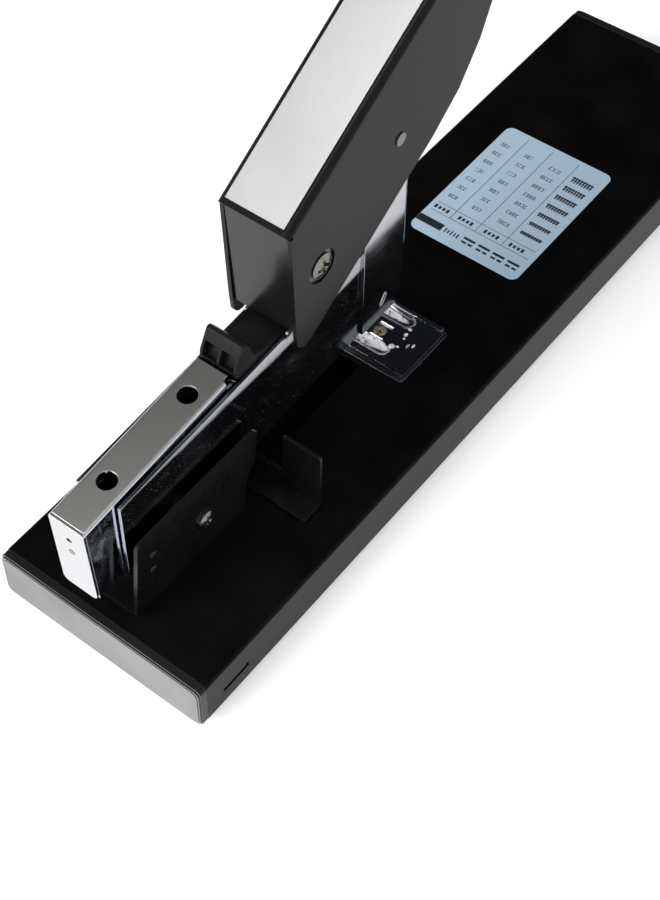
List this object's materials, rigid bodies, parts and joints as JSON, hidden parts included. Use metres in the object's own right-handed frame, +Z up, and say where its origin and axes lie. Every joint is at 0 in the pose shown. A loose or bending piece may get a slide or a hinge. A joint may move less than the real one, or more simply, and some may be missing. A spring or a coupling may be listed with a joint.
{
  "type": "long reach stapler",
  "caption": "Long reach stapler: steel base with anvil, rear bracket, long chrome arm with rear-loading staple drawer, latch, driver head and folded lever with grip.",
  "frame": {"origin": "bottom centre of the object's box, on the surface it stands on", "axes": "+X along the base from the drawer end (rear) to the grip end (front), +Y to the left as seen by someone facing +X, +Z up"},
  "size_m": [0.452, 0.11, 0.3208],
  "materials": {
    "base_enamel": "gloss",
    "bracket_enamel": "semi-gloss",
    "lever_enamel": "satin",
    "cap_plastic": "satin",
    "foot_rubber": "matte",
    "zinc_steel": "satin",
    "chrome_plate": "mirror",
    "anvil_chrome": "mirror",
    "satin_nickel": "satin",
    "label_print": "satin",
    "bronze": "satin",
    "brass_screw": "satin",
    "spring_steel": "satin",
    "brushed_cover": "brushed",
    "grip_rubber": "matte",
    "latch_plastic": "satin"
  },
  "bodies": {
    "root": {"base_tray": "base_enamel", "rear_end_cap": "cap_plastic", "front_end_cap": "cap_plastic", "rubber_feet": "foot_rubber", "rear_bracket": "bracket_enamel", "bracket_rivets": "zinc_steel", "arm_axle_bolt": "zinc_steel", "arm_axle_nut": "zinc_steel", "arm_lift_spring": "spring_steel", "anvil_plate": "anvil_chrome", "anvil_base": "anvil_chrome", "anvil_screw": "brass_screw", "size_label": "label_print"},
    "paper_stop": {"stop_plate": "bracket_enamel", "stop_clamp": "zinc_steel", "stop_screws": "zinc_steel"},
    "arm": {"arm_channel": "chrome_plate", "arm_bushes": "bronze", "head_sleeve": "chrome_plate", "sleeve_rivets": "zinc_steel", "staple_rail": "zinc_steel", "rail_rivets": "zinc_steel", "nose_guide": "zinc_steel", "lever_axle": "spring_steel", "lever_axle_screws": "zinc_steel", "lever_spring": "spring_steel", "latch_pin": "zinc_steel", "latch_spring": "spring_steel", "latch_bridge": "zinc_steel"},
    "lever": {"lever_frame": "lever_enamel", "lever_back_plate": "lever_enamel", "lever_top_cover": "brushed_cover", "lever_grip": "grip_rubber", "crosshead_pin": "zinc_steel"},
    "driver": {"driver_block": "zinc_steel", "driver_blade": "chrome_plate"},
    "drawer": {"drawer_cover": "satin_nickel", "drawer_end_plate": "satin_nickel", "pusher_rod": "zinc_steel", "rod_clips": "zinc_steel", "pusher_spring": "spring_steel"},
    "pusher": {"pusher_block": "zinc_steel"},
    "latch": {"latch_lever": "latch_plastic"}
  },
  "joints": [
    {"name": "arm_pivot", "type": "hinge", "parent": "root", "child": "arm", "pos_m": [-0.1663, 0.005, 0.0498], "axis": [0, 1, 0], "range_deg": [0, 8.2], "stiffness_Nm_per_rad": 9, "springref_deg": -22.92, "deforming": ["arm_lift_spring"]},
    {"name": "lever_pivot", "type": "hinge", "parent": "arm", "child": "lever", "pos_m": [-0.0888, 0.005, 0.1366], "axis": [0, 1, 0], "range_deg": [0, 22], "stiffness_Nm_per_rad": 5, "springref_deg": -28.65},
    {"name": "driver_slide", "type": "slide", "parent": "arm", "child": "driver", "axis": [0, 0, -1], "range_m": [0, 0.0212]},
    {"name": "drawer_slide", "type": "slide", "parent": "arm", "child": "drawer", "axis": [-0.9976, 0, -0.0698], "range_m": [0, 0.1]},
    {"name": "pusher_slide", "type": "slide", "parent": "drawer", "child": "pusher", "axis": [-0.9976, 0, -0.0698], "range_m": [0, 0.08], "stiffness_N_per_m": 30, "springref_m": -0.08, "deforming": ["pusher_spring"]},
    {"name": "latch_pivot", "type": "hinge", "parent": "arm", "child": "latch", "pos_m": [-0.0798, 0.005, 0.10296], "axis": [0, 1, 0], "range_deg": [-4, 0], "stiffness_Nm_per_rad": 0.6, "springref_deg": 6.88, "deforming": ["latch_spring"]},
    {"name": "stop_slide", "type": "slide", "parent": "root", "child": "paper_stop", "axis": [1, 0, 0], "range_m": [0, 0.058]}
  ],
  "couplings": [
    {"joint": "driver_slide", "follows": "lever_pivot", "m_per_rad": 0.05472}
  ]
}
